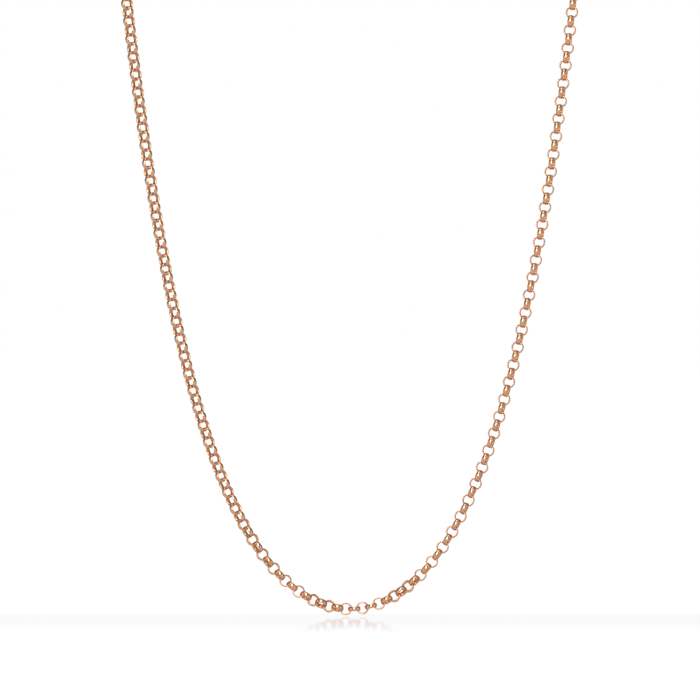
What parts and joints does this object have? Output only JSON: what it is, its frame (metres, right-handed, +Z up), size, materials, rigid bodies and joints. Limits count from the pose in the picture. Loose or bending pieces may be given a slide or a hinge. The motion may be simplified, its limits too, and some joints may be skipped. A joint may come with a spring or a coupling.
{
  "type": "chain necklace",
  "caption": "Closed necklace of round rolo links in polished rose gold, hanging as a deep U, with a lobster clasp and two jump rings at the nape.",
  "frame": {"origin": "middle of the clasp's underside, at the nape, where the neck carries the necklace", "axes": "+X across the necklace to the wearer's left as seen from the front, +Y from front to back through the chain's thickness, +Z up; the loop hangs in the XZ plane"},
  "size_m": [0.0934, 0.0054, 0.1824],
  "materials": {
    "link_metal": "polished rose gold plate",
    "ring_wire": "polished rose gold plate",
    "clasp_metal": "polished rose gold plate"
  },
  "bodies": {
    "clasp": {"clasp_body": "clasp_metal", "clasp_rivet": "clasp_metal", "clasp_spring": "clasp_metal"},
    "clasp_lever": {"clasp_lever": "clasp_metal"},
    "jump_rings": {"tail_ring": "ring_wire", "catch_ring": "ring_wire"},
    "chain_01": {"left_chain_01": "link_metal", "right_chain_01": "link_metal"},
    "chain_02": {"left_chain_02": "link_metal", "right_chain_02": "link_metal"},
    "chain_03": {"left_chain_03": "link_metal", "right_chain_03": "link_metal"},
    "chain_04": {"left_chain_04": "link_metal", "right_chain_04": "link_metal"},
    "chain_05": {"left_chain_05": "link_metal", "right_chain_05": "link_metal"},
    "chain_06": {"left_chain_06": "link_metal", "right_chain_06": "link_metal"},
    "chain_07": {"left_chain_07": "link_metal", "right_chain_07": "link_metal"},
    "chain_08": {"left_chain_08": "link_metal", "right_chain_08": "link_metal"},
    "chain_09": {"left_chain_09": "link_metal", "right_chain_09": "link_metal"},
    "chain_10": {"left_chain_10": "link_metal", "right_chain_10": "link_metal"},
    "chain_11": {"left_chain_11": "link_metal", "right_chain_11": "link_metal"},
    "chain_12": {"left_chain_12": "link_metal", "right_chain_12": "link_metal"},
    "chain_13": {"left_chain_13": "link_metal", "right_chain_13": "link_metal"},
    "chain_14": {"left_chain_14": "link_metal", "right_chain_14": "link_metal"},
    "chain_15": {"left_chain_15": "link_metal", "right_chain_15": "link_metal"},
    "chain_16": {"left_chain_16": "link_metal", "right_chain_16": "link_metal"},
    "chain_17": {"left_chain_17": "link_metal", "right_chain_17": "link_metal"},
    "chain_18": {"left_chain_18": "link_metal", "right_chain_18": "link_metal"},
    "chain_19": {"left_chain_19": "link_metal", "right_chain_19": "link_metal"},
    "bottom_chain": {"bottom_chain": "link_metal"}
  },
  "joints": [
    {"name": "clasp_lever_hinge", "type": "hinge", "parent": "clasp", "child": "clasp_lever", "pos_m": [-0.0015, 0.00108, 0.0008], "axis": [0, 0, -1], "range_deg": [0, 26], "stiffness_Nm_per_rad": 0.002, "springref_deg": -11.46},
    {"name": "jump_ring_swing", "type": "hinge", "parent": "clasp", "child": "jump_rings", "pos_m": [0, 0, 0.0008], "axis": [1, 0, 0], "range_deg": [-18, 18]},
    {"name": "chain_01_fold", "type": "hinge", "parent": "jump_rings", "child": "chain_01", "pos_m": [-0.00689, 0, 0.00077], "axis": [-1, 0, 0], "range_deg": [-18, 18]},
    {"name": "chain_02_fold", "type": "hinge", "parent": "chain_01", "child": "chain_02", "pos_m": [-0.01807, 0, -0.00116], "axis": [1, 0, 0.0001], "range_deg": [-18, 18]},
    {"name": "chain_03_fold", "type": "hinge", "parent": "chain_02", "child": "chain_03", "pos_m": [-0.02743, 0, -0.00563], "axis": [-1, 0, -0.0009], "range_deg": [-18, 18]},
    {"name": "chain_04_fold", "type": "hinge", "parent": "chain_03", "child": "chain_04", "pos_m": [-0.03529, 0, -0.01234], "axis": [1, 0, 0.0024], "range_deg": [-18, 18]},
    {"name": "chain_05_fold", "type": "hinge", "parent": "chain_04", "child": "chain_05", "pos_m": [-0.04114, 0, -0.02081], "axis": [-1, 0, -0.0042], "range_deg": [-18, 18]},
    {"name": "chain_06_fold", "type": "hinge", "parent": "chain_05", "child": "chain_06", "pos_m": [-0.04461, 0, -0.03047], "axis": [1, 0, 0.006], "range_deg": [-18, 18]},
    {"name": "chain_07_fold", "type": "hinge", "parent": "chain_06", "child": "chain_07", "pos_m": [-0.0455, 0, -0.04067], "axis": [-1, 0, -0.0073], "range_deg": [-18, 18]},
    {"name": "chain_08_fold", "type": "hinge", "parent": "chain_07", "child": "chain_08", "pos_m": [-0.04452, 0, -0.05089], "axis": [1, 0, 0.0078], "range_deg": [-18, 18]},
    {"name": "chain_09_fold", "type": "hinge", "parent": "chain_08", "child": "chain_09", "pos_m": [-0.04336, 0, -0.06124], "axis": [-1, 0, -0.0078], "range_deg": [-18, 18]},
    {"name": "chain_10_fold", "type": "hinge", "parent": "chain_09", "child": "chain_10", "pos_m": [-0.04211, 0, -0.07162], "axis": [1, 0, 0.008], "range_deg": [-18, 18]},
    {"name": "chain_11_fold", "type": "hinge", "parent": "chain_10", "child": "chain_11", "pos_m": [-0.04075, 0, -0.08198], "axis": [-1, 0, -0.0083], "range_deg": [-18, 18]},
    {"name": "chain_12_fold", "type": "hinge", "parent": "chain_11", "child": "chain_12", "pos_m": [-0.03926, 0, -0.09232], "axis": [1, 0, 0.0086], "range_deg": [-18, 18]},
    {"name": "chain_13_fold", "type": "hinge", "parent": "chain_12", "child": "chain_13", "pos_m": [-0.03761, 0, -0.10264], "axis": [-1, 0, -0.0089], "range_deg": [-18, 18]},
    {"name": "chain_14_fold", "type": "hinge", "parent": "chain_13", "child": "chain_14", "pos_m": [-0.03575, 0, -0.11292], "axis": [1, 0, 0.0094], "range_deg": [-18, 18]},
    {"name": "chain_15_fold", "type": "hinge", "parent": "chain_14", "child": "chain_15", "pos_m": [-0.03365, 0, -0.12316], "axis": [-1, 0, -0.0099], "range_deg": [-18, 18]},
    {"name": "chain_16_fold", "type": "hinge", "parent": "chain_15", "child": "chain_16", "pos_m": [-0.03121, 0, -0.13332], "axis": [0.9999, 0, 0.0106], "range_deg": [-18, 18]},
    {"name": "chain_17_fold", "type": "hinge", "parent": "chain_16", "child": "chain_17", "pos_m": [-0.02833, 0, -0.14336], "axis": [-0.9999, 0, -0.0114], "range_deg": [-18, 18]},
    {"name": "chain_18_fold", "type": "hinge", "parent": "chain_17", "child": "chain_18", "pos_m": [-0.02481, 0, -0.15319], "axis": [0.9999, 0, 0.0126], "range_deg": [-18, 18]},
    {"name": "chain_19_fold", "type": "hinge", "parent": "chain_18", "child": "chain_19", "pos_m": [-0.02022, 0, -0.1628], "axis": [-0.9998, 0, -0.0188], "range_deg": [-18, 18]},
    {"name": "bottom_chain_fold", "type": "hinge", "parent": "chain_19", "child": "bottom_chain", "pos_m": [-0.01391, 0, -0.17154], "axis": [0.9995, 0, 0.0316], "range_deg": [-18, 18]}
  ]
}
